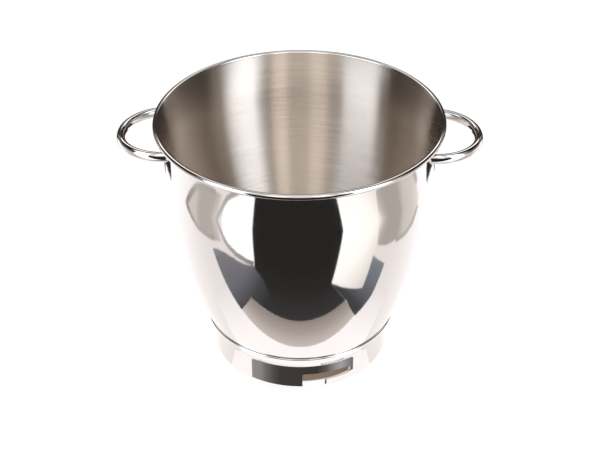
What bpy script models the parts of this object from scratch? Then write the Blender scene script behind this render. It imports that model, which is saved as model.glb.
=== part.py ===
"""Bowl for a stand mixer, in metres, +Z up.

A drawn steel shell with a rolled rim stands on a foot ring with bayonet slots, and has two bar handles.
The origin is the middle of the foot on the surface that the bowl stands on. The handles lie along X,
and the first bayonet slot faces the front, -Y.
"""
import math

import bmesh
import bpy
from mathutils import Vector

# Shell: radii and heights are those of its outside face
SHEET = 0.0009            # wall of the drawn shell
BOWL_HEIGHT = 0.230       # ground to the top of the rim
WAIST_RADIUS = 0.1149     # where the wall stands upright, under its flare
WAIST_DEPTH = 0.041       # from the top of the rim down to the waist
WAIST_HEIGHT = BOWL_HEIGHT - WAIST_DEPTH
FLANK_RADIUS = 0.383      # long arc of the wall below the waist
HEEL_HEIGHT = 0.040       # where the flank turns into the tighter heel
HEEL_RADIUS = 0.038
RIM_FLARE = 0.0042        # how far the wall leans out from the waist to the rim
CURL_RADIUS = 0.0024      # outside of the rolled rim's section
CURL_TURN = math.radians(295)

# Foot ring: pressed from thicker sheet, with a collar that lies against the shell
FOOT_SHEET = 0.0012
SEAM_DROP = 0.003         # from the top of the heel down to where the collar's lip meets the shell
SEAM_HEIGHT = HEEL_HEIGHT - SEAM_DROP
FOOT_INSET = 0.0072       # from the lip of the collar in to the upright wall
FOOT_FILLET = 0.006       # between the collar and the upright wall
LIP_RADIUS = 0.001        # round edge of the collar's lip
FIT_GAP = 0.0003          # clearance between pieces that seat on each other

# Bayonet slots: a notch open at the ground, and a slot that runs on over a tab
SLOT_COUNT = 3
SLOT_START = math.radians(-87.5)  # closed side of the first notch, from +X towards +Y
NOTCH_WIDTH = 0.0197
SLOT_LENGTH = 0.0445             # notch and slot together, along the wall
SLOT_TOP = 0.0144
TAB_HEIGHT = 0.0067
CORNER_RADIUS = 0.0014           # of the notch's upper corner and the tab's corner
TAB_LEAN = 0.0002                # the tab's punched end leans by this much
END_TURN = math.radians(83)      # quarter turn of the slot's round end, less its last facet
SLOT_OVERRUN = 0.004             # by which the slot cutters pass the faces that they open

# Handles: an oval bar bent to a half circle, its necked ends welded to the wall
HANDLE_DROP = 0.0174      # from the top of the rim down to the middle of the bar where it meets the wall
HANDLE_HEIGHT = BOWL_HEIGHT - HANDLE_DROP
HANDLE_WIDTH = 0.0069     # of the bar, in the plane of its bend
HANDLE_DEPTH = 0.0092     # of the bar, across that plane
BEND_RADIUS = 0.038
NECK_SHARE = 0.62         # size of the neck beside that of the bar
NECK_LENGTH = 0.0016
SHOULDER_LENGTH = 0.0014  # over which the bar's end rounds down to its neck
LEG_LENGTH = NECK_LENGTH + SHOULDER_LENGTH  # straight stretch between the wall and the bend
HANDLE_DROOP = math.radians(0.8)
BURIED_LENGTH = 0.014     # of each leg inside the wall, which the wall's cutter takes away

# Facets
ROUND_STEPS = 64
FOOT_STEPS = 72
HEEL_STEPS = 6
FLANK_STEPS = 7
FLARE_STEPS = 3
CURL_STEPS = 12
FILLET_STEPS = 3
LIP_STEPS = 3
CORNER_STEPS = 3
SPAN_STEPS = 3            # of each straight stretch of a slot's outline
END_STEPS = 5
BAR_STEPS = 14
BEND_STEPS = 18
SHOULDER_STEPS = 4
SHARP_ANGLE = math.radians(35)
MERGE_DISTANCE = 1e-6


class SheetPath:
    """One face of a bent sheet in the (radius, height) plane, drawn as tangent lines and arcs."""

    def __init__(self, radius, height, heading):
        self.at = Vector((radius, height))
        self.heading = heading
        self.points = [(self.at.copy(), heading)]

    def line(self, length):
        """Go straight on."""
        self.at = self.at + length * Vector((math.cos(self.heading), math.sin(self.heading)))
        self.points.append((self.at.copy(), self.heading))

    def bend(self, radius, turn, steps):
        """Turn on an arc, to the left where turn is positive."""
        side = 1 if turn > 0 else -1
        centre = self.at + side * radius * left_of(self.heading)
        start = self.heading
        for step in range(1, steps + 1):
            self.heading = start + turn * step / steps
            self.at = centre - side * radius * left_of(self.heading)
            self.points.append((self.at.copy(), self.heading))

    def face(self, distance=0.0):
        """Points of the face that lies this far to the left of the path."""
        return [point + distance * left_of(heading) for point, heading in self.points]


def left_of(heading):
    """Unit vector to the left of a heading."""
    return Vector((-math.sin(heading), math.cos(heading)))


def flank_angle(height):
    """Lean of the flank from upright at a height."""
    return math.asin((WAIST_HEIGHT - height) / FLANK_RADIUS)


def flare_arc():
    """Radius and turn of the arc from the waist up to the rolled rim."""
    curl = CURL_RADIUS - SHEET
    out = RIM_FLARE + curl
    rise = BOWL_HEIGHT - CURL_RADIUS - WAIST_HEIGHT
    radius = (out ** 2 + rise ** 2 - curl ** 2) / (2 * RIM_FLARE)
    return radius, math.asin(rise / (radius - curl))


def wall_path():
    """Outside face of the shell, from the middle of its bottom up to where the rim is rolled."""
    lean = flank_angle(HEEL_HEIGHT)
    heel_top = WAIST_RADIUS - FLANK_RADIUS * (1 - math.cos(lean))
    bottom_radius = heel_top - HEEL_RADIUS * math.cos(lean)
    bottom_height = HEEL_HEIGHT - HEEL_RADIUS * (1 - math.sin(lean))
    flare_radius, flare_turn = flare_arc()
    path = SheetPath(0.0, bottom_height, 0.0)
    path.line(bottom_radius)
    path.bend(HEEL_RADIUS, math.pi / 2 - lean, HEEL_STEPS)
    path.bend(FLANK_RADIUS, lean, FLANK_STEPS)
    path.bend(flare_radius, -flare_turn, FLARE_STEPS)
    return path


def shell_seat(height):
    """Point of the shell's outside face on its heel or flank at a height, and the wall's heading there."""
    lean = flank_angle(HEEL_HEIGHT)
    radius = WAIST_RADIUS - FLANK_RADIUS * (1 - math.cos(lean))
    if height < HEEL_HEIGHT:
        low = math.asin(math.sin(lean) + (HEEL_HEIGHT - height) / HEEL_RADIUS)
        radius -= HEEL_RADIUS * (math.cos(lean) - math.cos(low))
    else:
        low = flank_angle(height)
        radius = WAIST_RADIUS - FLANK_RADIUS * (1 - math.cos(low))
    return Vector((radius, height)), math.pi / 2 - low


def wall_radius(height):
    """Outside radius of the wall at a height above the heel."""
    if height < WAIST_HEIGHT:
        return WAIST_RADIUS - FLANK_RADIUS * (1 - math.cos(flank_angle(height)))
    radius = flare_arc()[0]
    return WAIST_RADIUS + radius * (1 - math.cos(math.asin((height - WAIST_HEIGHT) / radius)))


def foot_path():
    """Outside face of the foot ring, from the ground to where the lip of its collar is rounded."""
    seat, heading = shell_seat(SEAM_HEIGHT)
    lip = seat - (FIT_GAP + FOOT_SHEET) * left_of(heading)
    lean = math.pi / 2 - heading
    tangent = FOOT_FILLET * math.tan(lean / 2)
    collar = FOOT_INSET / math.sin(lean)
    upright = lip.y - FOOT_INSET / math.tan(lean)
    path = SheetPath(lip.x - FOOT_INSET, 0.0, math.pi / 2)
    path.line(upright - tangent)
    path.bend(FOOT_FILLET, -lean, FILLET_STEPS)
    path.line(collar - tangent - LIP_RADIUS)
    return path


def new_object(name, bm, hidden=False):
    """Turn a bmesh into an object of the scene with smooth round faces."""
    mesh = bpy.data.meshes.new(name)
    fill(mesh, bm)
    return place(name, mesh, hidden)


def fill(mesh, bm):
    """Write a bmesh into a mesh, with its faces outwards and smooth up to the sharp angle."""
    bmesh.ops.recalc_face_normals(bm, faces=bm.faces)
    bm.to_mesh(mesh)
    bm.free()
    mesh.shade_smooth()
    mesh.set_sharp_from_angle(angle=SHARP_ANGLE)


def place(name, mesh, hidden=False):
    """Link an object that shows a mesh."""
    obj = bpy.data.objects.new(name, mesh)
    bpy.context.scene.collection.objects.link(obj)
    if hidden:
        obj.hide_render = True
        obj.display_type = "WIRE"
    return obj


def turned(name, outline, steps, closed, hidden=False):
    """Spin an outline in the (radius, height) plane about Z, from angle zero."""
    bm = bmesh.new()
    verts = [bm.verts.new((point[0], 0.0, point[1])) for point in outline]
    pairs = list(zip(verts, verts[1:]))
    if closed:
        pairs.append((verts[-1], verts[0]))
    edges = [bm.edges.new(pair) for pair in pairs]
    bmesh.ops.spin(bm, geom=verts + edges, cent=(0, 0, 0), axis=(0, 0, 1),
                   angle=2 * math.pi, steps=steps, use_merge=False)
    bmesh.ops.remove_doubles(bm, verts=bm.verts, dist=MERGE_DISTANCE)
    return new_object(name, bm, hidden)


def cut(obj, cutter):
    """Take a cutter's volume away from an object."""
    boolean = obj.modifiers.new("Cut " + cutter.name, "BOOLEAN")
    boolean.operation = "DIFFERENCE"
    boolean.solver = "EXACT"
    boolean.object = cutter


def finish(obj, name, colour, roughness):
    """Give an object its own metal material."""
    material = bpy.data.materials.new(name)
    material.use_nodes = True
    shader = material.node_tree.nodes["Principled BSDF"]
    shader.inputs["Base Color"].default_value = (*colour, 1.0)
    shader.inputs["Metallic"].default_value = 1.0
    shader.inputs["Roughness"].default_value = roughness
    obj.data.materials.clear()
    obj.data.materials.append(material)


def make_shell():
    """The drawn shell: one sheet from the middle of the bottom to the rolled rim."""
    path = wall_path()
    path.bend(CURL_RADIUS - SHEET, -CURL_TURN, CURL_STEPS)
    outline = path.face() + path.face(SHEET)[::-1]
    shell = turned("bowl_shell", outline, ROUND_STEPS, closed=False)
    finish(shell, "Polished steel of the shell", (0.76, 0.74, 0.72), 0.12)
    return shell


def slot_columns():
    """Columns (distance along the wall, lowest, highest) of a bayonet slot's outline."""
    below = -SLOT_OVERRUN
    middle = (SLOT_TOP + TAB_HEIGHT) / 2
    end = (SLOT_TOP - TAB_HEIGHT) / 2
    tab_start = NOTCH_WIDTH + TAB_LEAN
    end_start = SLOT_LENGTH - end
    columns = []
    for step in range(CORNER_STEPS + 1):
        turn = math.pi / 2 * step / CORNER_STEPS
        along = CORNER_RADIUS * (1 - math.cos(turn))
        columns.append((along, below, SLOT_TOP - CORNER_RADIUS * (1 - math.sin(turn))))
    for along in stretch(CORNER_RADIUS, NOTCH_WIDTH):
        columns.append((along, below, SLOT_TOP))
    for step in range(CORNER_STEPS + 1):
        turn = math.pi / 2 * step / CORNER_STEPS
        along = tab_start + CORNER_RADIUS * (1 - math.cos(turn))
        columns.append((along, TAB_HEIGHT - CORNER_RADIUS * (1 - math.sin(turn)), SLOT_TOP))
    for along in stretch(tab_start + CORNER_RADIUS, end_start):
        columns.append((along, TAB_HEIGHT, SLOT_TOP))
    for step in range(1, END_STEPS + 1):
        turn = END_TURN * step / END_STEPS
        half = end * math.cos(turn)
        columns.append((end_start + end * math.sin(turn), middle - half, middle + half))
    return columns


def stretch(start, end):
    """Even steps from a start, left out, to an end."""
    return [start + (end - start) * step / SPAN_STEPS for step in range(1, SPAN_STEPS + 1)]


def slot_cutter(name, radius, start):
    """A block that follows the foot's wall and has a bayonet slot's outline."""
    inner = radius - FOOT_SHEET - SLOT_OVERRUN
    outer = radius + SLOT_OVERRUN
    bm = bmesh.new()
    rows = []
    for along, low, high in slot_columns():
        angle = start + along / radius
        across = Vector((math.cos(angle), math.sin(angle), 0.0))
        up = Vector((0.0, 0.0, 1.0))
        rows.append([bm.verts.new(across * inner + up * low), bm.verts.new(across * outer + up * low),
                     bm.verts.new(across * outer + up * high), bm.verts.new(across * inner + up * high)])
    bm.faces.new(rows[0])
    bm.faces.new(rows[-1][::-1])
    for row, following in zip(rows, rows[1:]):
        for corner in range(4):
            beside = (corner + 1) % 4
            bm.faces.new((row[corner], row[beside], following[beside], following[corner]))
    return new_object(name, bm, hidden=True)


def make_foot():
    """The foot ring with its bayonet slots."""
    path = foot_path()
    inside = path.face(FOOT_SHEET)
    path.bend(LIP_RADIUS, math.pi / 2, LIP_STEPS)
    path.line(FOOT_SHEET - LIP_RADIUS)
    outline = path.face() + inside[::-1]
    foot = turned("foot_ring", outline, FOOT_STEPS, closed=True)
    for index in range(SLOT_COUNT):
        start = SLOT_START + 2 * math.pi * index / SLOT_COUNT
        cut(foot, slot_cutter(f"slot_cutter_{index + 1}", path.points[0][0].x, start))
    finish(foot, "Polished steel of the foot", (0.76, 0.74, 0.72), 0.14)
    return foot


def bar_sections():
    """Sections (middle, direction across the bar, size share) along one handle, from leg to leg."""
    leg = [(-BURIED_LENGTH, NECK_SHARE), (NECK_LENGTH, NECK_SHARE)]
    for step in range(1, SHOULDER_STEPS + 1):
        turn = math.pi / 2 * step / SHOULDER_STEPS
        along = NECK_LENGTH + SHOULDER_LENGTH * (1 - math.cos(turn))
        leg.append((along, NECK_SHARE + (1 - NECK_SHARE) * math.sin(turn)))
    sections = [(Vector((along, -BEND_RADIUS, 0)), Vector((0, -1, 0)), share) for along, share in leg]
    centre = Vector((LEG_LENGTH, 0, 0))
    for step in range(BEND_STEPS + 1):
        angle = math.pi * (step / BEND_STEPS - 0.5)
        across = Vector((math.cos(angle), math.sin(angle), 0))
        sections.append((centre + BEND_RADIUS * across, across, 1.0))
    sections += [(Vector((along, BEND_RADIUS, 0)), Vector((0, 1, 0)), share) for along, share in leg[::-1]]
    return sections


def bar_mesh():
    """Loft the handle's oval bar through its sections and close its ends."""
    bm = bmesh.new()
    rings = []
    for middle, across, share in bar_sections():
        ring = []
        for step in range(BAR_STEPS):
            turn = 2 * math.pi * (step + 0.5) / BAR_STEPS
            side = across * (math.cos(turn) * share * HANDLE_WIDTH / 2)
            up = Vector((0, 0, math.sin(turn) * share * HANDLE_DEPTH / 2))
            ring.append(bm.verts.new(middle + side + up))
        rings.append(ring)
    for ring, following in zip(rings, rings[1:]):
        for step in range(BAR_STEPS):
            beside = (step + 1) % BAR_STEPS
            bm.faces.new((ring[step], ring[beside], following[beside], following[step]))
    bm.faces.new(rings[0][::-1])
    bm.faces.new(rings[-1])
    mesh = bpy.data.meshes.new("handle_bar")
    fill(mesh, bm)
    return mesh


def wall_cutter():
    """Solid that fills the bowl out to the handles' seat on its wall."""
    outline = wall_path().face(-FIT_GAP)
    outline.append(Vector((0.0, outline[-1].y)))
    return turned("wall_cutter", outline, ROUND_STEPS, closed=False, hidden=True)


def make_handles():
    """The two handles, cut to the wall that they are welded to."""
    cutter = wall_cutter()
    seat = math.sqrt(wall_radius(HANDLE_HEIGHT) ** 2 - BEND_RADIUS ** 2)
    handles = []
    for name, side in (("left_handle", -1), ("right_handle", 1)):
        handle = place(name, bar_mesh())
        handle.location = (side * seat, 0.0, HANDLE_HEIGHT)
        handle.rotation_euler = (0.0, HANDLE_DROOP, 0.0 if side > 0 else math.pi)
        cut(handle, cutter)
        finish(handle, f"Polished steel of the {name.replace('_', ' ')}", (0.78, 0.77, 0.76), 0.10)
        handles.append(handle)
    return handles


def main():
    """Clear the scene and model the bowl's four pieces."""
    for obj in list(bpy.data.objects):
        bpy.data.objects.remove(obj, do_unlink=True)
    make_shell()
    make_foot()
    make_handles()


main()
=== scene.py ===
"""Looks of a stand mixer's bowl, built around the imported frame.

The drawn shell, its foot ring and its two handles are remade from the frame's own sizes with fine
meshes, because polished steel shows every facet. A small studio of cards is what the steel reflects.
Lengths are in metres where nothing else is said, and the front of the bowl is -Y.
"""

import logging
import math
from dataclasses import dataclass
from enum import Enum
from functools import partial

import bmesh
import bpy
from bmesh.types import BMEdge, BMesh
from bpy.types import Material, Mesh, Node, NodeSocket, NodeTree, Object
from mathutils import Euler, Matrix, Vector

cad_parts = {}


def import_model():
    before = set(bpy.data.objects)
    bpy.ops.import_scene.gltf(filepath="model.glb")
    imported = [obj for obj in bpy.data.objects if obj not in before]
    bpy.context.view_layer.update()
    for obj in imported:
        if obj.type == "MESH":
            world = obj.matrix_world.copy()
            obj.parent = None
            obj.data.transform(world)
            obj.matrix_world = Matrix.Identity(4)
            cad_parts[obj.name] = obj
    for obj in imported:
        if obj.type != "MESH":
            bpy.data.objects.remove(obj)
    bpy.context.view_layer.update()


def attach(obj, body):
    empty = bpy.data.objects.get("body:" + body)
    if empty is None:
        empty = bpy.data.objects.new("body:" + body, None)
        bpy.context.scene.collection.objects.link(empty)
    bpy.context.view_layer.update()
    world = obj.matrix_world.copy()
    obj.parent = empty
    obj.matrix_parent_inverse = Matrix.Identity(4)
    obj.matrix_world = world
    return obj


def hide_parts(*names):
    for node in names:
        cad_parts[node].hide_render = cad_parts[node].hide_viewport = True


LOG = logging.getLogger("mixer_bowl")
BODY = "root"
MM = 0.001
MERGE = 1e-6                    # points nearer than this are one point
SHARP = math.radians(40)        # an edge that bends by more than this stays sharp
WHITE = (1.0, 1.0, 1.0, 1.0)


class Face(Enum):
    """The two sides of the drawn sheet."""

    OUTSIDE = "outside"
    INSIDE = "inside"


def linear(colour: str) -> tuple[float, float, float, float]:
    """Turn an sRGB hex colour into the linear values that a shader takes.

    Args:
        colour: six hex digits after a hash sign.

    Returns:
        Linear red, green and blue, and an alpha of one.
    """
    parts = [int(colour[i:i + 2], 16) / 255 for i in (1, 3, 5)]
    return (*[p / 12.92 if p <= 0.04045 else ((p + 0.055) / 1.055) ** 2.4 for p in parts], 1.0)


def add_node(tree: NodeTree, kind: str, inputs: dict | None = None, **settings) -> Node:
    """Add a node to a tree, with its settings, values and links.

    Args:
        tree: node tree that takes the node.
        kind: Blender's name of the node type.
        inputs: value, source socket, or source node for its first output, by the input's name
            or index.
        settings: properties of the node itself.

    Returns:
        The new node.
    """
    node = tree.nodes.new(kind)
    for name, value in settings.items():
        setattr(node, name, value)
    for key, value in (inputs or {}).items():
        if isinstance(value, Node):
            value = value.outputs[0]
        if isinstance(value, NodeSocket):
            tree.links.new(value, node.inputs[key])
        else:
            node.inputs[key].default_value = value
    return node


def sheet_mesh(name: str, bm: BMesh) -> Mesh:
    """Turn a bmesh into a smooth mesh that keeps its sharp edges.

    Args:
        name: name of the mesh.
        bm: source, which is freed.

    Returns:
        The finished mesh.
    """
    mesh = bpy.data.meshes.new(name)
    bm.to_mesh(mesh)
    bm.free()
    mesh.shade_smooth()
    mesh.set_sharp_from_angle(angle=SHARP)
    return mesh


def link(name: str, mesh: Mesh) -> Object:
    """Show a mesh as an object of the scene.

    Args:
        name: name of the object.
        mesh: its mesh.

    Returns:
        The new object.
    """
    obj = bpy.data.objects.new(name, mesh)
    bpy.context.scene.collection.objects.link(obj)
    return obj


def polyline(name: str, points: list[Vector], values: dict[str, list[float]]) -> Object:
    """Make an object of one open line of points with a named value at each.

    Args:
        name: name of the object.
        points: the line's points.
        values: lists of point values, by attribute name.

    Returns:
        The new object.
    """
    mesh = bpy.data.meshes.new(name)
    mesh.from_pydata(points, [(i, i + 1) for i in range(len(points) - 1)], [])
    for key, numbers in values.items():
        attribute = mesh.attributes.new(key, "FLOAT", "POINT")
        attribute.data.foreach_set("value", numbers)
    return link(name, mesh)


def evaluated(source: Object) -> Mesh:
    """Keep what an object's modifiers make as a plain mesh.

    Args:
        source: the object, which is removed.

    Returns:
        The evaluated mesh.
    """
    graph = bpy.context.evaluated_depsgraph_get()
    mesh = bpy.data.meshes.new_from_object(source.evaluated_get(graph), depsgraph=graph)
    source.modifiers.clear()
    bpy.data.objects.remove(source)
    return mesh


def size_tree(name: str, sizes: dict[str, str]) -> tuple[NodeTree, Node]:
    """Start a Geometry Nodes tree that takes a geometry and named sizes, and gives a geometry.

    Args:
        name: name of the tree.
        sizes: Float or Int for each size, by the size's name.

    Returns:
        The tree, and the node that holds its inputs.
    """
    tree = bpy.data.node_groups.new(name, "GeometryNodeTree")
    for way in ("INPUT", "OUTPUT"):
        tree.interface.new_socket("Geometry", in_out=way, socket_type="NodeSocketGeometry")
    for size, kind in sizes.items():
        tree.interface.new_socket(size, in_out="INPUT", socket_type="NodeSocket" + kind)
    return tree, add_node(tree, "NodeGroupInput")


def grown(source: Object, tree: NodeTree, sizes: dict[str, float | int]) -> Mesh:
    """Run a Geometry Nodes tree on an object and keep its result as a plain mesh.

    Args:
        source: object whose geometry the tree starts from; it is removed.
        tree: the tree.
        sizes: value of each named input.

    Returns:
        The evaluated mesh.
    """
    modifier = source.modifiers.new(tree.name, "NODES")
    modifier.node_group = tree
    for item in tree.interface.items_tree:
        if item.item_type == "SOCKET" and item.name in sizes:
            modifier[item.identifier] = sizes[item.name]
    return evaluated(source)


def seal(bm: BMesh) -> None:
    """Merge doubles and turn the faces outwards."""
    bmesh.ops.remove_doubles(bm, verts=bm.verts, dist=MERGE)
    bmesh.ops.recalc_face_normals(bm, faces=bm.faces)


def sealed(mesh: Mesh) -> BMesh:
    """Load a mesh with its doubles merged and its faces turned outwards.

    Args:
        mesh: the mesh to load.

    Returns:
        A bmesh of it.
    """
    bm = bmesh.new()
    bm.from_mesh(mesh)
    seal(bm)
    return bm


class SheetPath:
    """One face of a bent sheet in the (radius, height) plane, drawn as tangent lines and arcs."""

    def __init__(self, radius: float, height: float, heading: float) -> None:
        """Start the path.

        Args:
            radius: where it starts, from the bowl's axis.
            height: where it starts, above the ground.
            heading: its direction, in radians from outwards to upwards.
        """
        self.at = Vector((radius, height))
        self.heading = heading
        self.points = [(self.at.copy(), heading)]

    @staticmethod
    def left(heading: float) -> Vector:
        """Unit vector to the left of a heading."""
        return Vector((-math.sin(heading), math.cos(heading)))

    def line(self, length: float, steps: int = 1) -> None:
        """Go straight on.

        Args:
            length: how far.
            steps: even steps to take.
        """
        ahead = Vector((math.cos(self.heading), math.sin(self.heading)))
        for _ in range(steps):
            self.at = self.at + ahead * (length / steps)
            self.points.append((self.at.copy(), self.heading))

    def bend(self, radius: float, turn: float, steps: int) -> None:
        """Turn on an arc.

        Args:
            radius: radius of the arc.
            turn: angle in radians, to the left where it is positive.
            steps: even steps to take.
        """
        side = 1 if turn > 0 else -1
        centre = self.at + side * radius * self.left(self.heading)
        start = self.heading
        for step in range(1, steps + 1):
            self.heading = start + turn * step / steps
            self.at = centre - side * radius * self.left(self.heading)
            self.points.append((self.at.copy(), self.heading))

    def face(self, distance: float = 0.0) -> list[Vector]:
        """Points of the face that lies this far to the left of the path."""
        return [point + distance * self.left(heading) for point, heading in self.points]


def metal(name: str) -> tuple[Material, Node]:
    """Start the material of a metal.

    Args:
        name: name of the material.

    Returns:
        The material, and its shader.
    """
    made = bpy.data.materials.new(name)
    made.use_nodes = True
    shader = made.node_tree.nodes["Principled BSDF"]
    shader.inputs["Metallic"].default_value = 1.0
    return made, shader


@dataclass(frozen=True)
class PolishedSteel:
    """Stainless steel buffed to a mirror: sharp reflections, a faint haze and hairline marks."""

    name: str = "buffed_stainless_steel"
    colour: str = "#E2E0DF"
    roughness: float = 0.045
    haze: float = 0.03                       # how much rougher a mark is
    mark_spacing: float = 1.6 * MM           # drawn coarser than real marks, as they need to show
    mark_run: float = 20.0                   # how many times longer than wide a mark is
    mark_depth: float = 0.010 * MM
    mark_span: tuple[float, float] = (0.3, 0.7)    # where nearly all of the noise's values lie

    def material(self) -> Material:
        """Build the material; its marks run round the bowl's axis.

        Returns:
            The material.
        """
        made, shader = metal(self.name)
        tree = made.node_tree
        add = partial(add_node, tree)
        shader.inputs["Base Color"].default_value = linear(self.colour)
        place = add("ShaderNodeTexCoord").outputs["Object"]
        stretched = add("ShaderNodeMapping", {
            "Vector": place, "Scale": (1 / self.mark_run, 1 / self.mark_run, 1.0)})
        marks = add("ShaderNodeTexNoise", {
            "Vector": stretched, "Scale": 1 / self.mark_spacing, "Detail": 3.0})
        rough = add("ShaderNodeMapRange", {
            "Value": marks, "From Min": self.mark_span[0], "From Max": self.mark_span[1],
            "To Min": self.roughness, "To Max": self.roughness + self.haze})
        bump = add("ShaderNodeBump", {
            "Height": marks, "Strength": self.mark_depth / MM, "Distance": MM})
        tree.links.new(rough.outputs["Result"], shader.inputs["Roughness"])
        tree.links.new(bump.outputs["Normal"], shader.inputs["Normal"])
        return made


@dataclass(frozen=True)
class SatinSteel:
    """Stainless steel turned on a lathe: fine grooves spread each reflection into an upright band."""

    name: str = "satin_turned_stainless_steel"
    colour: str = "#C6BBB0"
    score_colour: str = "#B7ADA2"
    roughness: float = 0.27           # with the stretch, wide across the grooves and narrow along them
    stretch: float = 1.0
    stretch_turn: float = 0.25        # a quarter turn, from along the grooves to across them
    score_pitch: float = 0.8 * MM     # deeper scores between the grooves, drawn coarser than real ones
    score_lean: float = 0.06          # slope of their flanks
    flank_lean: float = 0.52          # mean slope of the groove flanks that face the mouth
    score_drift: float = 0.015        # how little a score changes on its way round
    lean_span: tuple[float, float] = (0.25, 0.75)    # values of the noise that give the slopes
    tone_span: tuple[float, float] = (0.3, 0.7)      # values of the noise that give the two colours

    def material(self) -> Material:
        """Build the material; its grooves run round the bowl's axis.

        Returns:
            The material.
        """
        made, shader = metal(self.name)
        tree = made.node_tree
        add = partial(add_node, tree)
        shader.inputs["Roughness"].default_value = self.roughness
        shader.inputs["Anisotropic"].default_value = self.stretch
        shader.inputs["Anisotropic Rotation"].default_value = self.stretch_turn
        place = add("ShaderNodeTexCoord").outputs["Object"]
        height = add("ShaderNodeSeparateXYZ", {"Vector": place}).outputs["Z"]
        flat = add("ShaderNodeVectorMath", {0: place, 1: (1.0, 1.0, 0.0)}, operation="MULTIPLY")
        radius = add("ShaderNodeVectorMath", {0: flat}, operation="LENGTH").outputs["Value"]
        along = add("ShaderNodeMath", {0: radius, 1: height}, operation="ADD")
        drift = add("ShaderNodeVectorMath", {
            0: place, 1: (self.score_drift, self.score_drift, 0.0)}, operation="MULTIPLY")
        lane = add("ShaderNodeCombineXYZ", {"Z": along})
        lanes = add("ShaderNodeVectorMath", {0: lane, 1: drift}, operation="ADD")
        score = add("ShaderNodeTexNoise", {
            "Vector": lanes, "Scale": 1 / self.score_pitch, "Detail": 4.0, "Roughness": 0.7})
        lean = add("ShaderNodeMapRange", {
            "Value": score, "From Min": self.lean_span[0], "From Max": self.lean_span[1],
            "To Min": self.flank_lean - self.score_lean, "To Max": self.flank_lean + self.score_lean})
        normal = add("ShaderNodeNewGeometry").outputs["Normal"]
        round_axis = add("ShaderNodeTangent", direction_type="RADIAL", axis="Z")
        upwards = add("ShaderNodeVectorMath", {0: round_axis, 1: normal}, operation="CROSS_PRODUCT")
        shift = add("ShaderNodeVectorMath", {0: upwards, 3: lean}, operation="SCALE")
        turned = add("ShaderNodeVectorMath", {0: normal, 1: shift}, operation="ADD")
        flank = add("ShaderNodeVectorMath", {0: turned}, operation="NORMALIZE")
        tone = add("ShaderNodeValToRGB", {"Fac": score})
        colours = (self.score_colour, self.colour)
        for element, position, colour in zip(tone.color_ramp.elements, self.tone_span, colours):
            element.position = position
            element.color = linear(colour)
        tree.links.new(tone.outputs["Color"], shader.inputs["Base Color"])
        tree.links.new(flank.outputs["Vector"], shader.inputs["Normal"])
        tree.links.new(round_axis.outputs["Tangent"], shader.inputs["Tangent"])
        return made


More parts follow.
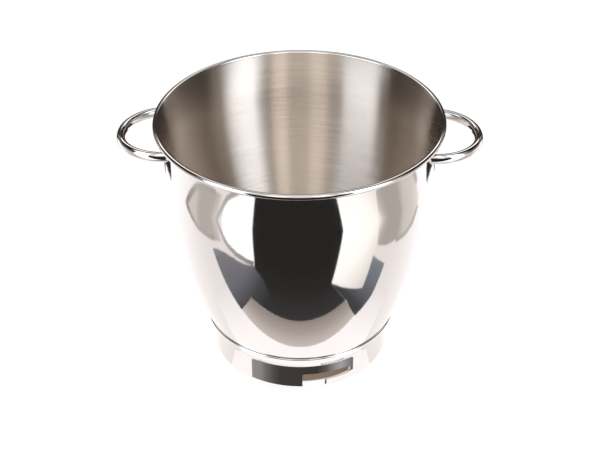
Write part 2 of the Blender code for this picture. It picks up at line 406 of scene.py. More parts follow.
@dataclass
class BowlShell:
    """The drawn shell: one sheet from the middle of its bottom to the rolled rim."""

    outside: PolishedSteel
    inside: SatinSteel
    node: str = "bowl_shell"
    slot: str = "shell_steel"
    sheet: float = 0.9 * MM
    height: float = 229.999 * MM
    waist_radius: float = 114.9 * MM
    waist_height: float = 189 * MM
    flank_radius: float = 383 * MM
    heel_height: float = 40 * MM
    heel_radius: float = 38 * MM
    rim_flare: float = 4.195 * MM
    curl_radius: float = 2.4 * MM
    curl_turn: float = math.radians(295)
    satin_turn: float = math.radians(16)   # how far the satin finish follows the roll
    bottom_steps: int = 6
    heel_steps: int = 20
    flank_steps: int = 40
    flare_steps: int = 16
    curl_steps: int = 36
    round_steps: int = 240
    satin_share: float = 0.75              # a face is satin where more of its corners than this are

    def flank_angle(self, height: float) -> float:
        """Lean of the flank from upright at a height."""
        return math.asin((self.waist_height - height) / self.flank_radius)

    def flare_arc(self) -> tuple[float, float]:
        """Work out the arc from the waist up to the rolled rim.

        Returns:
            Its radius and its turn.
        """
        curl = self.curl_radius - self.sheet
        out = self.rim_flare + curl
        rise = self.height - self.curl_radius - self.waist_height
        radius = (out ** 2 + rise ** 2 - curl ** 2) / (2 * self.rim_flare)
        return radius, math.asin(rise / (radius - curl))

    def wall_radius(self, height: float) -> float:
        """Outside radius of the wall at a height above the waist."""
        radius, rise = self.flare_arc()[0], height - self.waist_height
        return self.waist_radius + radius * (1 - math.cos(math.asin(rise / radius)))

    def seat(self, height: float) -> tuple[Vector, float]:
        """Find the outside face on the heel at a height.

        Args:
            height: height above the ground.

        Returns:
            The face's point, and the wall's heading there.
        """
        lean = self.flank_angle(self.heel_height)
        low = math.asin(math.sin(lean) + (self.heel_height - height) / self.heel_radius)
        radius = self.waist_radius - self.flank_radius * (1 - math.cos(lean))
        radius -= self.heel_radius * (math.cos(lean) - math.cos(low))
        return Vector((radius, height)), math.pi / 2 - low

    def path(self) -> SheetPath:
        """Draw the outside face.

        Returns:
            The path from the middle of the bottom to the end of the roll.
        """
        lean = self.flank_angle(self.heel_height)
        heel_top = self.waist_radius - self.flank_radius * (1 - math.cos(lean))
        flare_radius, flare_turn = self.flare_arc()
        path = SheetPath(0.0, self.heel_height - self.heel_radius * (1 - math.sin(lean)), 0.0)
        path.line(heel_top - self.heel_radius * math.cos(lean), self.bottom_steps)
        path.bend(self.heel_radius, math.pi / 2 - lean, self.heel_steps)
        path.bend(self.flank_radius, lean, self.flank_steps)
        path.bend(flare_radius, -flare_turn, self.flare_steps)
        path.bend(self.curl_radius - self.sheet, -self.curl_turn, self.curl_steps)
        return path

    def tree(self, materials: dict[Face, Material]) -> NodeTree:
        """Build the nodes that turn the sheet's section about the bowl's axis and finish its faces.

        Args:
            materials: the finish of each side of the sheet.

        Returns:
            The tree.
        """
        tree, given = size_tree("turn_section", {"Radius": "Float", "Steps": "Int"})
        add = partial(add_node, tree)
        ring = add("GeometryNodeCurvePrimitiveCircle", {
            "Resolution": given.outputs["Steps"], "Radius": given.outputs["Radius"]})
        upright = add("GeometryNodeSetCurveNormal", {"Curve": ring}, mode="Z_UP")
        section = add("GeometryNodeMeshToCurve", {"Mesh": given})
        turned = add("GeometryNodeCurveToMesh", {"Curve": upright, "Profile Curve": section})
        merged = add("GeometryNodeMergeByDistance", {"Geometry": turned, "Distance": MERGE})
        real = add("GeometryNodeRealizeInstances", {"Geometry": merged})
        polished = add("GeometryNodeSetMaterial", {
            "Geometry": real, "Material": materials[Face.OUTSIDE]})
        side = add("GeometryNodeInputNamedAttribute", {"Name": "inside"}, data_type="FLOAT")
        within = add("FunctionNodeCompare", {0: side, 1: self.satin_share}, data_type="FLOAT",
                     operation="GREATER_THAN")
        satin = add("GeometryNodeSetMaterial", {
            "Geometry": polished, "Selection": within, "Material": materials[Face.INSIDE]})
        add("NodeGroupOutput", {"Geometry": satin})
        return tree

    def build(self) -> Object:
        """Make the piece and let it stand for the frame's shell.

        Returns:
            The piece.
        """
        path = self.path()
        outer = path.face()
        inner = path.face(self.sheet)[::-1]
        followed = round(self.curl_steps * self.satin_turn / self.curl_turn)
        wall = len(path.points) - self.curl_steps + followed
        section = [Vector((point.x - self.waist_radius, -point.y, 0.0)) for point in outer + inner]
        inside = [0.0] * len(outer)
        inside += [1.0 if len(inner) - i <= wall else 0.0 for i in range(len(inner))]
        source = polyline("shell_section", section, {"inside": inside})
        materials = {Face.OUTSIDE: self.outside.material(), Face.INSIDE: self.inside.material()}
        mesh = grown(source, self.tree(materials), {
            "Radius": self.waist_radius, "Steps": self.round_steps})
        piece = link("mixing_bowl_shell", sheet_mesh("mixing_bowl_shell", sealed(mesh)))
        for material in mesh.materials:
            piece.data.materials.append(material)
        return adopt(piece, self.node)


@dataclass
class FootRing:
    """The pressed foot ring: a conical collar, an upright wall, and bayonet slots cut in it."""

    shell: BowlShell
    finish: PolishedSteel
    node: str = "foot_ring"
    slot: str = "foot_steel"
    sheet: float = 1.2 * MM
    seam_height: float = 37 * MM
    inset: float = 7.2 * MM
    fillet: float = 6 * MM
    fit_gap: float = 0.3 * MM                 # between the collar and the shell, where it is welded
    lip_radius: float = 1.0 * MM
    slot_count: int = 3
    slot_start: float = math.radians(-87.5)   # the first slot faces the front
    notch_width: float = 19.7 * MM
    slot_length: float = 44.5 * MM
    slot_top: float = 14.4 * MM
    tab_height: float = 6.7 * MM
    corner: float = 1.4 * MM
    tab_lean: float = 0.2 * MM
    edge_break: float = 0.14 * MM
    square_angle: float = math.radians(50)    # an edge that bends by more than this is a square one
    step: float = 1.3 * MM
    band_rows: int = 4
    fillet_steps: int = 8
    collar_steps: int = 3
    corner_steps: int = 6
    end_steps: int = 11
    end_turn: float = math.radians(88)        # the slot's round end stops just short of a point
    lip_segments: int = 6
    edge_segments: int = 2

    def path(self) -> SheetPath:
        """Draw the outside face.

        Returns:
            The path from the ground to the lip of the collar.
        """
        seat, heading = self.shell.seat(self.seam_height)
        lip = seat - (self.fit_gap + self.sheet) * SheetPath.left(heading)
        lean = math.pi / 2 - heading
        tangent = self.fillet * math.tan(lean / 2)
        upright = lip.y - self.inset / math.tan(lean)
        path = SheetPath(lip.x - self.inset, 0.0, math.pi / 2)
        path.line(upright - tangent)
        path.bend(self.fillet, -lean, self.fillet_steps)
        path.line(self.inset / math.sin(lean) - tangent, self.collar_steps)
        return path

    def slot_columns(self) -> list[tuple[float, float, float, bool]]:
        """Lay out the columns across one bayonet slot: its notch, the tab's corner and the round end.

        Returns:
            Distance along the wall, lowest and highest point of the opening, and whether it is
            open to the ground, for each column.
        """
        middle = (self.slot_top + self.tab_height) / 2
        end = (self.slot_top - self.tab_height) / 2
        notch = self.tab_height - self.corner
        tab = self.notch_width + self.tab_lean
        quarter = [math.pi / 2 * i / self.corner_steps for i in range(self.corner_steps + 1)]
        columns = [(self.corner * (1 - math.cos(t)), notch,
                    self.slot_top - self.corner * (1 - math.sin(t)), True) for t in quarter]
        columns += [(a, notch, self.slot_top, True) for a in self.spread(self.corner, tab)]
        columns[-1] = (tab, notch, self.slot_top, False)
        columns += [(tab + self.corner * (1 - math.cos(t)),
                     self.tab_height - self.corner * (1 - math.sin(t)), self.slot_top, False)
                    for t in quarter[1:]]
        columns += [(a, self.tab_height, self.slot_top, False)
                    for a in self.spread(tab + self.corner, self.slot_length - end)]
        for index in range(1, self.end_steps + 1):
            turn = self.end_turn * index / self.end_steps
            half = end * math.cos(turn)
            columns.append((self.slot_length - end + end * math.sin(turn),
                            middle - half, middle + half, False))
        return columns

    def spread(self, start: float, end: float) -> list[float]:
        """Even steps from a start, left out, to an end."""
        count = max(1, round((end - start) / self.step))
        return [start + (end - start) * i / count for i in range(1, count + 1)]

    def heights(self, low: float, high: float, upper: list[Vector],
                radius: float) -> list[tuple[float, float]]:
        """Place the points of one column, from the ground to the lip.

        Args:
            low: lowest point of the opening.
            high: highest point of the opening.
            upper: points above the upright wall.
            radius: radius of the upright wall.

        Returns:
            Radius and height of each point.
        """
        rows = []
        for start, end in ((0.0, low), (low, high), (high, upper[0].y)):
            rows += [start + (end - start) * i / self.band_rows for i in range(self.band_rows)]
        return [(radius, z) for z in rows] + [(point.x, point.y) for point in upper]

    def square_edges(self, bm: BMesh) -> list[BMEdge]:
        """Edges that the cut and the sheet's thickness leave square."""
        return [edge for edge in bm.edges
                if edge.is_manifold and edge.calc_face_angle() > self.square_angle]

    def rounded(self, solid: Mesh) -> Mesh:
        """Round the lip and break the cut edges of the ring.

        Args:
            solid: the ring with its sheet's thickness and square edges.

        Returns:
            The finished mesh.
        """
        bm = bmesh.new()
        bm.from_mesh(solid)
        top = max(vert.co.z for vert in bm.verts) - self.sheet
        square = self.square_edges(bm)
        rim = max(math.hypot(*edge.verts[0].co.xy) for edge in square) - self.sheet / 4
        lip = [edge for edge in square
               if all(math.hypot(*vert.co.xy) > rim and vert.co.z > top for vert in edge.verts)]
        bmesh.ops.bevel(bm, geom=lip, offset=self.lip_radius, segments=self.lip_segments, profile=0.5,
                        affect="EDGES")
        bmesh.ops.bevel(bm, geom=self.square_edges(bm), offset=self.edge_break,
                        segments=self.edge_segments, profile=0.5, affect="EDGES", clamp_overlap=True)
        return sheet_mesh("bayonet_foot_ring", bm)

    def skin(self) -> BMesh:
        """Lay the outside face as one skin, column by column, with the slots left open.

        Returns:
            A bmesh of it.
        """
        points = self.path().face()
        radius, upper = points[0].x, points[1:]
        pitch = 2 * math.pi * radius / self.slot_count
        slot = self.slot_columns()
        plain = [(a, self.tab_height - self.corner, self.slot_top - self.corner, None)
                 for a in self.spread(slot[-1][0], pitch)[:-1]]
        bm = bmesh.new()
        columns = []
        for index in range(self.slot_count):
            turned = self.slot_start + 2 * math.pi * index / self.slot_count
            for number, (along, low, high, opened) in enumerate(slot + plain):
                angle = turned + along / radius
                ring = [bm.verts.new((r * math.cos(angle), r * math.sin(angle), z))
                        for r, z in self.heights(low, high, upper, radius)]
                columns.append((ring, opened, number == len(slot) - 1))
        for (ring, opened, last), (beside, _, _) in zip(columns, columns[1:] + columns[:1]):
            for row in range(len(ring) - 1):
                tab_row = row < self.band_rows
                slot_row = self.band_rows <= row < 2 * self.band_rows
                if opened is not None and not last and slot_row or opened and tab_row:
                    continue
                bm.faces.new((ring[row], beside[row], beside[row + 1], ring[row + 1]))
        seal(bm)
        return bm

    def build(self) -> Object:
        """Make the piece and let it stand for the frame's foot ring.

        Returns:
            The piece.
        """
        source = link("foot_sheet", sheet_mesh("foot_sheet", self.skin()))
        outward = source.data.polygons[0]
        if outward.normal.dot(Vector((outward.center.x, outward.center.y, 0))) < 0:
            source.data.flip_normals()
        solidify = source.modifiers.new("sheet", "SOLIDIFY")
        solidify.thickness = self.sheet
        solidify.offset = -1.0
        solidify.use_even_offset = True
        mesh = self.rounded(evaluated(source))
        mesh.materials.clear()
        mesh.materials.append(self.finish.material())
        return adopt(link("bayonet_foot_ring", mesh), self.node)


@dataclass
class Handle:
    """A bar handle bent to a half circle, its necked ends welded to the wall."""

    shell: BowlShell
    finish: PolishedSteel
    node: str
    slot: str
    side: int
    drop: float = 17.4 * MM
    width: float = 6.9 * MM
    depth: float = 9.2 * MM
    bend_radius: float = 37.89 * MM
    neck_share: float = 0.62
    neck: float = 1.6 * MM
    shoulder: float = 1.4 * MM
    droop: float = math.radians(0.8)
    weld_share: float = 0.80
    weld: float = 0.7 * MM
    weld_knee: tuple[float, float] = (0.3, 0.07)    # shares of its length and of the bar's size
    sunk: float = 0.4 * MM
    shoulder_steps: int = 10
    bar_steps: int = 40
    bend_steps: int = 72

    def leg_stations(self) -> list[tuple[float, float]]:
        """Size one leg, from the wall outwards.

        Returns:
            Distance from the wall and share of the bar's size, for each station.
        """
        along, more = self.weld_knee
        stations = [(0.0, self.weld_share), (self.weld * along, self.neck_share + more),
                    (self.weld, self.neck_share), (self.neck, self.neck_share)]
        for index in range(1, self.shoulder_steps + 1):
            turn = math.pi / 2 * index / self.shoulder_steps
            stations.append((self.neck + self.shoulder * (1 - math.cos(turn)),
                             self.neck_share + (1 - self.neck_share) * math.sin(turn)))
        return stations

    def path(self) -> Object:
        """Draw the bar's middle line: a leg, the half circle and the other leg.

        Returns:
            The line, with the share of the bar's size at each point.
        """
        leg = self.leg_stations()
        points = [Vector((along, -self.bend_radius, 0)) for along, _ in leg]
        shares = [share for _, share in leg]
        start = self.neck + self.shoulder
        for index in range(self.bend_steps + 1):
            angle = math.pi * (index / self.bend_steps - 0.5)
            points.append(Vector((start + self.bend_radius * math.cos(angle),
                                  self.bend_radius * math.sin(angle), 0)))
            shares.append(1.0)
        points += [Vector((along, self.bend_radius, 0)) for along, _ in leg[::-1]]
        shares += [share for _, share in leg[::-1]]
        return polyline("handle_path", points, {"share": shares})

    def tree(self, material: Material) -> NodeTree:
        """Build the nodes that run an oval section along the bar's path.

        Args:
            material: the bar's finish.

        Returns:
            The tree.
        """
        tree, given = size_tree("bent_bar", {"Width": "Float", "Depth": "Float", "Steps": "Int"})
        add = partial(add_node, tree)
        line = add("GeometryNodeMeshToCurve", {"Mesh": given})
        upright = add("GeometryNodeSetCurveNormal", {"Curve": line}, mode="Z_UP")
        share = add("GeometryNodeInputNamedAttribute", {"Name": "share"}, data_type="FLOAT")
        sized = add("GeometryNodeSetCurveRadius", {"Curve": upright, "Radius": share})
        circle = add("GeometryNodeCurvePrimitiveCircle", {
            "Resolution": given.outputs["Steps"], "Radius": 0.5})
        oval_size = add("ShaderNodeCombineXYZ", {
            "X": given.outputs["Width"], "Y": given.outputs["Depth"], "Z": 1.0})
        oval = add("GeometryNodeTransform", {"Geometry": circle, "Scale": oval_size})
        bar = add("GeometryNodeCurveToMesh", {
            "Curve": sized, "Profile Curve": oval, "Fill Caps": True})
        real = add("GeometryNodeRealizeInstances", {"Geometry": bar})
        dressed = add("GeometryNodeSetMaterial", {"Geometry": real, "Material": material})
        add("NodeGroupOutput", {"Geometry": dressed})
        return tree

    def build(self) -> Object:
        """Make the piece and let it stand for the frame's handle.

        Returns:
            The piece.
        """
        source = self.path()
        material = self.finish.material()
        mesh = grown(source, self.tree(material), {
            "Width": self.width, "Depth": self.depth, "Steps": self.bar_steps})
        height = self.shell.height - self.drop
        seat = math.sqrt(self.shell.wall_radius(height) ** 2 - self.bend_radius ** 2)
        turn = Euler((0.0, self.droop, 0.0 if self.side > 0 else math.pi)).to_matrix().to_4x4()
        placed = Matrix.Translation((self.side * seat, 0.0, height)) @ turn
        bm = sealed(mesh)
        for vert in bm.verts:
            rooted = abs(vert.co.x) < MERGE
            vert.co = placed @ vert.co
            if rooted:
                wall = self.shell.wall_radius(vert.co.z) - self.sunk
                vert.co.x = self.side * math.sqrt(wall ** 2 - vert.co.y ** 2)
        piece = link("bar_" + self.node, sheet_mesh("bar_" + self.node, bm))
        piece.data.materials.append(material)
        return adopt(piece, self.node)


def adopt(piece: Object, node: str) -> Object:
    """Let a piece stand for a node of the frame, on the bowl's one body.

    Args:
        piece: the finished piece.
        node: name of the node that it replaces.

    Returns:
        The same piece.
    """
    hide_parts(node)
    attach(piece, BODY)
    LOG.info("%s: %d faces", piece.name, len(piece.data.polygons))
    return piece


@dataclass(frozen=True)
class Stop:
    """Tone of a card at one place."""

    place: float              # mm forwards or to the right on the table, degrees of azimuth on a wall
    colour: str
    strength: float = 1.0


@dataclass(frozen=True)
class Card:
    """A glowing card of the studio that only reflections see."""

    name: str
    tones: tuple[Stop, ...]   # one tone, or a ramp of them


@dataclass(frozen=True)
class TableCard(Card):
    """A flat card that lies on the table."""

    corners: tuple[tuple[float, float], ...]    # right and forwards of the bowl's axis, in mm
    across: bool = False                        # its tones run to the right, not forwards

    def place(self, tree: NodeTree, run: Node) -> Node:
        """Add the node that tells where a point lies, in mm.

        Args:
            tree: node tree of the card's material.
            run: node that gives the distance forwards as X and to the right as Y.

        Returns:
            The node, which gives how far forwards or to the right it is.
        """
        way = run.outputs["Y" if self.across else "X"]
        return add_node(tree, "ShaderNodeMath", {0: way, 1: 1 / MM}, operation="MULTIPLY")

    def skin(self) -> BMesh:
        """Make the card's one face, which looks up.

        Returns:
            A bmesh of it.
        """
        bm = bmesh.new()
        face = bm.faces.new([bm.verts.new((right * MM, -forward * MM, 0.0))
                             for right, forward in self.corners])
        face.normal_update()
        if face.normal.z < 0:
            face.normal_flip()
        return bm


@dataclass(frozen=True)
class WallCard(Card):
    """An upright card bent round the bowl's axis."""

    height: tuple[float, float]                       # its lower and upper edge
    azimuth: tuple[float, float] = (-180.0, 180.0)    # its ends, in degrees from the front to the right
    distance: float = 3.0                             # from the bowl's axis
    facet: float = 3.0                                # degrees that one flat strip of it takes

    def place(self, tree: NodeTree, run: Node) -> Node:
        """Add the nodes that tell a point's azimuth, in degrees.

        Args:
            tree: node tree of the card's material.
            run: node that gives the distance forwards as X and to the right as Y.

        Returns:
            The node that gives the azimuth.
        """
        angle = add_node(tree, "ShaderNodeMath", {0: run.outputs["Y"], 1: run.outputs["X"]},
                         operation="ARCTAN2")
        return add_node(tree, "ShaderNodeMath", {0: angle}, operation="DEGREES")

    def skin(self) -> BMesh:
        """Make the card's strips, which look at the bowl.

        Returns:
            A bmesh of them.
        """
        bm = bmesh.new()
        start, end = self.azimuth
        steps = max(2, round((end - start) / self.facet))
        rows = []
        for i in range(steps + 1):
            a = math.radians(start + (end - start) * i / steps)
            x, y = self.distance * math.sin(a), -self.distance * math.cos(a)
            rows.append([bm.verts.new((x, y, z)) for z in self.height])
        for (a0, a1), (b0, b1) in zip(rows, rows[1:]):
            bm.faces.new((a0, a1, b1, b0))
        return bm


def blank(name: str) -> Material:
    """Start an empty material, whose glow isn't sampled as a lamp.

    Args:
        name: name of the material.

    Returns:
        The material.
    """
    made = bpy.data.materials.new(name)
    made.use_nodes = True
    made.node_tree.nodes.clear()
    made.cycles.emission_sampling = "NONE"
    return made


def front_only(tree: NodeTree, front: Node) -> None:
    """End a material's tree, so that its back is clear.

    Args:
        tree: the material's node tree.
        front: node of what its front shows.
    """
    clear = add_node(tree, "ShaderNodeBsdfTransparent")
    behind = add_node(tree, "ShaderNodeNewGeometry").outputs["Backfacing"]
    sided = add_node(tree, "ShaderNodeMixShader", {0: behind, 1: front, 2: clear})
    add_node(tree, "ShaderNodeOutputMaterial", {"Surface": sided})


@dataclass
class Studio:
    """Floor, surroundings, light and camera."""

    table: list[TableCard]                # the lowest first
    walls: list[WallCard]
    layer: float = 0.1 * MM               # how far a table card lies above the one under it
    camera_back: float = 1.05277
    camera_up: float = 0.83297
    camera_pitch: float = math.radians(34.09)
    camera_turn: float = math.radians(1.4)
    camera_roll: float = math.radians(0.3)
    camera_reach: float = 50.0
    sensor_mm: float = 36.0
    focal_px: float = 1444.79
    frame_px: float = 600.0
    floor_size: float = 8.0
    floor_drop: float = 0.02 * MM
    floor_grey: float = 0.35              # matt tone, which takes the bowl's shadow
    floor_glow: float = 0.8               # with the light on it, white to the camera
    painted_shade_radius: float = 69 * MM
    painted_shade_colour: str = "#B9A48F"         # painted shade: the floor inside the foot ring, seen through its slots, turns this beige
    sky_colour: str = "#FFFBF7"
    sky_strength: float = 0.85

    def glow(self, card: TableCard | WallCard) -> Material:
        """Make a glowing material with a card's tones, seen from its front only.

        Args:
            card: the card that takes it.

        Returns:
            The material.
        """
        made = blank("card_" + card.name)
        tree = made.node_tree
        add = partial(add_node, tree)
        first, last = card.tones[0], card.tones[-1]
        peak = max(tone.strength for tone in card.tones)
        light = add("ShaderNodeEmission", {"Color": linear(first.colour), "Strength": peak})
        if len(card.tones) > 1:
            facing = add("ShaderNodeMapping", {
                "Vector": add("ShaderNodeTexCoord").outputs["Object"],
                "Rotation": (0.0, 0.0, math.pi / 2 - self.camera_turn)})
            run = add("ShaderNodeSeparateXYZ", {"Vector": facing})
            share = add("ShaderNodeMapRange", {
                "Value": card.place(tree, run), "From Min": first.place, "From Max": last.place})
            ramp = add("ShaderNodeValToRGB", {"Fac": share})
            marks = ramp.color_ramp.elements
            while len(marks) < len(card.tones):
                marks.new(1.0)
            for mark, tone in zip(marks, card.tones):
                mark.position = (tone.place - first.place) / (last.place - first.place)
                mark.color = [part * tone.strength / peak for part in linear(tone.colour)[:3]] + [1.0]
            tree.links.new(ramp.outputs["Color"], light.inputs["Color"])
        front_only(tree, light)
        return made

    def set_card(self, card: TableCard | WallCard, depth: float) -> None:
        """Build one card and hide it from all but reflections.

        Args:
            card: what to build.
            depth: how far it is lowered.
        """
        bm = card.skin()
        placed = Matrix.Translation((0.0, 0.0, -depth)) @ Matrix.Rotation(self.camera_turn, 4, "Z")
        bmesh.ops.transform(bm, matrix=placed, verts=bm.verts)
        obj = link("studio_" + card.name, sheet_mesh(card.name, bm))
        obj.data.materials.append(self.glow(card))
        for ray in ("camera", "diffuse", "transmission", "volume_scatter", "shadow"):
            setattr(obj, "visible_" + ray, False)

    def build_cards(self) -> None:
        """Lay the table's cards over each other and stand the walls."""
        for index, card in enumerate(self.table):
            self.set_card(card, self.layer * (len(self.table) - index))
        for card in self.walls:
            self.set_card(card, 0.0)

    def build_floor(self) -> None:
        """Lay a matt floor that keeps the bowl's soft shadow and shows white to the camera, with a
        painted beige shade inside the foot ring.
        """
        bm = bmesh.new()
        bmesh.ops.create_grid(bm, x_segments=1, y_segments=1, size=self.floor_size / 2)
        floor = link("studio_floor", sheet_mesh("studio_floor", bm))
        floor.location.z = -self.floor_drop
        made = blank("matt_white_floor")
        add = partial(add_node, made.node_tree)
        place = add("ShaderNodeTexCoord").outputs["Object"]
        radius = add("ShaderNodeVectorMath", {0: place}, operation="LENGTH").outputs["Value"]
        # Painted shade: inside the foot ring the floor turns beige and has no glow for the camera.
        open_floor = add("ShaderNodeMapRange", {
            "Value": radius, "From Min": self.painted_shade_radius - MM, "From Max": self.painted_shade_radius + MM})
        tone = add("ShaderNodeMix", {
            0: open_floor, 6: linear(self.painted_shade_colour), 7: (*[self.floor_grey] * 3, 1.0)},
            data_type="RGBA")
        matt = add("ShaderNodeBsdfDiffuse", {"Color": tone.outputs[2]})
        seen = add("ShaderNodeLightPath").outputs["Is Camera Ray"]
        lit = add("ShaderNodeMath", {0: seen, 1: open_floor}, operation="MULTIPLY")
        strength = add("ShaderNodeMath", {0: lit, 1: self.floor_glow}, operation="MULTIPLY")
        glow = add("ShaderNodeEmission", {"Color": WHITE, "Strength": strength})
        front_only(made.node_tree, add("ShaderNodeAddShader", {0: matt, 1: glow}))
        floor.data.materials.append(made)
        floor.visible_glossy = False

    def build_world(self) -> None:
        """Make plain surroundings: white behind the bowl, and a soft even light on it."""
        world = bpy.data.worlds.new("studio_world")
        bpy.context.scene.world = world
        world.use_nodes = True
        tree = world.node_tree
        tree.nodes.clear()
        add = partial(add_node, tree)
        seen = add("ShaderNodeLightPath").outputs["Is Camera Ray"]
        sky = add("ShaderNodeBackground", {
            "Color": linear(self.sky_colour), "Strength": self.sky_strength})
        white = add("ShaderNodeBackground", {"Color": WHITE, "Strength": 1.0})
        add("ShaderNodeOutputWorld", {
            "Surface": add("ShaderNodeMixShader", {0: seen, 1: sky, 2: white})})

    def build_camera(self) -> None:
        """Set the photograph's view: a long lens, looking down on the bowl's front."""
        data = bpy.data.cameras.new("camera")
        data.sensor_width = self.sensor_mm
        data.lens = self.sensor_mm * self.focal_px / self.frame_px
        data.clip_end = self.camera_reach
        camera = bpy.data.objects.new("camera", data)
        bpy.context.scene.collection.objects.link(camera)
        round_axis = Matrix.Rotation(self.camera_turn, 4, "Z")
        moved = Matrix.Translation((0.0, -self.camera_back, self.camera_up))
        looking = Euler((math.pi / 2 - self.camera_pitch, 0.0, 0.0)).to_matrix().to_4x4()
        rolled = Matrix.Rotation(-self.camera_roll, 4, "Z")
        camera.matrix_world = round_axis @ moved @ looking @ rolled
        bpy.context.scene.camera = camera

    def build(self) -> None:
        """Set the studio up."""
        self.build_floor()
        self.build_cards()
        self.build_world()
        self.build_camera()
        bpy.context.scene.view_settings.view_transform = "Standard"


def tones(*stops: tuple) -> tuple[Stop, ...]:
    """Write a card's ramp from plain (place, colour, strength) groups."""
    return tuple(Stop(*stop) for stop in stops)


def plain(colour: str, strength: float = 1.0) -> tuple[Stop, ...]:
    """Write a card's tones where one colour covers it."""
    return (Stop(0.0, colour, strength),)


def table_cards() -> list[TableCard]:
    """Lay out what the steel mirrors on the table.

    Returns:
        The cards, the lowest first.
    """
    return [
        TableCard("paper", tones(
            (-160, "#FFFDFD", 1.32), (-60, "#FFFCFC", 1.25), (10, "#FFFAF8", 1.13),
            (60, "#FFF8F6", 1.05), (110, "#FFF7F4", 1.03)),
            ((-4000, -4000), (4000, -4000), (4000, 4000), (-4000, 4000))),
        TableCard("near_paper", tones(
            (-160, "#FFF8F6", 1.04), (-70, "#FFFAFA", 1.3), (70, "#FFFAFA", 1.3),
            (160, "#FFF8F6", 1.04)),
            ((-160, 45), (160, 45), (160, 104), (-160, 104)), across=True),
        TableCard("left_sheet", plain("#FFFEFC", 1.42),
                  ((-147, 222), (-219, 318), (-2400, 3000), (-4000, 3000), (-4000, 400), (-350, 196),
                   (-255, 170))),
        TableCard("left_grey", tones(
            (-90, "#FFF6F2", 1.06), (-50, "#EDE4DF"), (28, "#E4DBD5"), (45, "#D2C9C3"), (62, "#C9C0BA"),
            (125, "#CBC3BD"), (156, "#EAE2DD")),
            ((-262, 150), (-350, 166), (-3000, 1000), (-3000, -1500), (-420, -110), (-348, -33),
             (-310, 24), (-292, 70), (-275, 118))),
        TableCard("left_line", tones(
            (-80, "#E8E0DB"), (-36, "#A69D97"), (0, "#B8B0AA"), (24, "#CAC2BD"), (118, "#BCB5B1")),
            ((-270, 120), (-288, 70), (-306, 24), (-344, -36), (-412, -112), (-424, -98), (-358, -22),
             (-320, 32), (-301, 76), (-284, 122))),
        TableCard("right_grey", tones(
            (-90, "#FFF6F2", 1.06), (-33, "#EDE4DF"), (28, "#E4DBD5"), (60, "#C2B9B3"),
            (125, "#C0B7B1"), (148, "#CBC3BD"), (166, "#E4DCD7"), (178, "#FFF6F0", 1.1)),
            ((250, 152), (340, 195), (3000, 1300), (3000, -1500), (420, -160), (330, -75), (298, -32),
             (283, 15), (274, 62), (256, 110))),
        TableCard("right_line", tones(
            (-80, "#E4DCD7"), (-60, "#C9C1BC"), (10, "#D0C8C3"), (62, "#BEB7B3")),
            ((332, -72), (300, -30), (285, 17), (276, 64), (264, 62), (272, 12), (286, -38),
             (320, -84))),
        TableCard("right_sheet", tones(
            (128, "#F6EEE8", 0.98), (155, "#FAF3ED", 1.15), (200, "#FFFAF5", 1.35),
            (300, "#FFFCF8", 1.5)),
            ((84, 201), (205, 336), (2500, 3000), (4000, 3000), (4000, 1700), (340, 195), (252, 152),
             (140, 128))),
        TableCard("front_dark", tones((150, "#3E3D3D"), (200, "#323130"), (260, "#2C2B29")),
                  ((-114, 143), (98, 143), (84, 201), (205, 336), (2500, 3000), (-2400, 3000),
                   (-219, 318), (-147, 226), (-130, 190))),
        TableCard("table_edge", tones((100, "#E2D8D2"), (124, "#BCB1AA"), (143, "#A0968F")),
                  ((-112, 102), (97, 102), (97, 144), (-112, 142))),
        TableCard("left_flap", tones(
            (-250, "#A09EA0"), (-225, "#8C8B90"), (-150, "#7A7A82"), (-104, "#505054"),
            (-70, "#3A3939")),
            ((-250, 98), (-108, 101), (-108, 142), (-70, 143), (-70, 175), (-100, 200), (-146, 214),
             (-165, 196), (-205, 170), (-232, 145), (-247, 120)), across=True),
        TableCard("left_edge", tones(
            (-350, "#D0CCCA"), (-250, "#BAB7B6"), (-190, "#A6A4A4"), (-147, "#8C8A8C")),
            ((-147, 227), (-147, 213), (-200, 183), (-250, 165), (-350, 158), (-350, 169), (-250, 180),
             (-200, 200)), across=True),
        TableCard("right_flap", tones(
            (84, "#3E3E40"), (110, "#4E4F52"), (135, "#6C6E74"), (165, "#7E828A"), (200, "#888D96"),
            (217, "#9A9CA2")),
            ((95, 100), (140, 90), (210, 90), (217, 150), (180, 139), (140, 128), (112, 165), (84, 201),
             (98, 143)), across=True),
        TableCard("back_dark", plain("#3C3636"),
                  ((-270, -238), (-215, -272), (215, -272), (270, -238), (460, -440), (4000, -2500),
                   (4000, -4000), (-4000, -4000), (-4000, -2500), (-460, -440))),
    ]


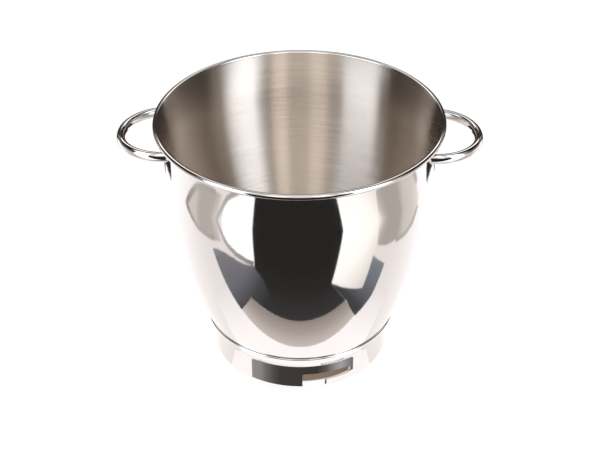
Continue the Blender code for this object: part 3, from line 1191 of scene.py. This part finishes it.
def wall_cards() -> list[WallCard]:
    """Lay out what stands round the bowl: light panels with dark between them, and small cards close to
    the foot ring and below the handle roots, which paint a shade and reflection on the foot and dark
    marks on the wall.

    Returns:
        The cards.
    """
    warm, white, dark = "#FFF9F4", "#EDF4FF", "#FFF4EE"
    return [
        WallCard("surround", tones(
            (-180, warm, 0.65), (-158, warm, 0.65), (-150, warm, 2.5), (-141, warm, 2.0),
            (-135, dark, 0.01), (-72, dark, 0.02), (-69, white, 1.75), (-52, white, 1.98),
            (-44, white, 1.66), (-37, warm, 0.92), (-28, warm, 1.06), (-24, warm, 1.75),
            (-12, warm, 1.66), (-8, warm, 1.15), (10, warm, 1.1), (13, warm, 1.89), (24, warm, 1.89),
            (27, warm, 0.74), (34, warm, 0.74), (38, white, 2.48), (42, white, 3.4), (60, white, 3.4),
            (66, white, 2.39), (70, warm, 0.51), (80, warm, 0.41), (88, dark, 0.02), (135, dark, 0.01),
            (141, warm, 2.0), (150, warm, 2.5), (158, warm, 0.65), (180, warm, 0.65)),
            height=(0.0, 5.6), distance=3.1),
        WallCard("right_wing", tones((-92, warm, 0.18), (-86, white, 2.02), (-72, white, 2.39)),
                 height=(2.3, 5.6), azimuth=(-92, -72), distance=3.05),
        WallCard("side_left", plain(dark, 0.01), height=(5.5, 16.0), azimuth=(-132, -72)),
        WallCard("side_right", plain(dark, 0.01), height=(5.5, 16.0), azimuth=(70, 132)),
        WallCard("front_low", tones(
            (-38, warm, 0.3), (-28, warm, 0.36), (-24, warm, 0.66), (-12, warm, 0.61), (-8, warm, 0.38),
            (10, warm, 0.38), (13, warm, 0.71), (24, warm, 0.71), (27, warm, 0.3), (38, warm, 0.4)),
            height=(0.0, 1.6), azimuth=(-38, 38), distance=3.05),
        WallCard("left_panel", tones(
            (-72, white, 1.92), (-66, white, 3.14), (-46, white, 3.04), (-38, white, 2.02)),
            height=(0.0, 2.0), azimuth=(-72, -38)),
        WallCard("front_drape", plain("#2E2C2A"), height=(0.0, 0.86), azimuth=(-41, 38)),
        WallCard("back_left", plain("#3C3434"), height=(0.0, 2.02), azimuth=(-180, -140)),
        WallCard("back_right", plain("#3C3434"), height=(0.0, 2.02), azimuth=(140, 180)),
        WallCard("left_low", plain("#77706E"), height=(0.0, 1.1), azimuth=(-140, -76)),
        WallCard("right_low", plain("#77706E"), height=(0.0, 1.1), azimuth=(76, 140)),
        # Painted shade: these dark cards stand below the handle roots, and the wall mirrors them as a
        # dark mark beside each root.
        WallCard("left_root_painted_shade", plain("#2C2828"), height=(0.1185, 0.133), azimuth=(-126, -105.5),
                 distance=0.183),
        WallCard("right_root_painted_shade", plain("#2C2828"), height=(0.1195, 0.133), azimuth=(101.5, 126),
                 distance=0.183),
        # Painted reflection and shade: these two cards stand just outside the foot ring, which mirrors
        # their dark and grey tones.
        WallCard("foot_painted_reflection", tones(
            (-35, "#A2A09F"), (-28, "#989796"), (-24, "#7A7977"), (-19, "#5C5B59"), (-14, "#464443"),
            (11, "#453E3D"), (17.5, "#646363")),
            height=(-0.001, 0.020), azimuth=(-35, 17.5), distance=79.5 * MM),
        WallCard("tab_painted_reflection", tones(
            (17.5, "#646363"), (24, "#A4A2A1"), (28, "#B5B3B8"), (32, "#A4A2A8"), (38, "#7E7478")),
            height=(0.0055, 0.020), azimuth=(17.5, 38), distance=79.5 * MM),
    ]


def main() -> None:
    """Dress the frame and set up the studio."""
    logging.basicConfig(level=logging.INFO)
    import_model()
    shell = BowlShell(outside=PolishedSteel(), inside=SatinSteel())
    shell.build()
    FootRing(shell=shell, finish=PolishedSteel(name="buffed_foot_steel")).build()
    for node, side in (("left_handle", -1), ("right_handle", 1)):
        finish = PolishedSteel(name=f"buffed_{node}_steel", roughness=0.06)
        Handle(shell=shell, finish=finish, node=node, slot=node + "_steel", side=side).build()
    Studio(table=table_cards(), walls=wall_cards()).build()


if __name__ == "__main__":
    main()
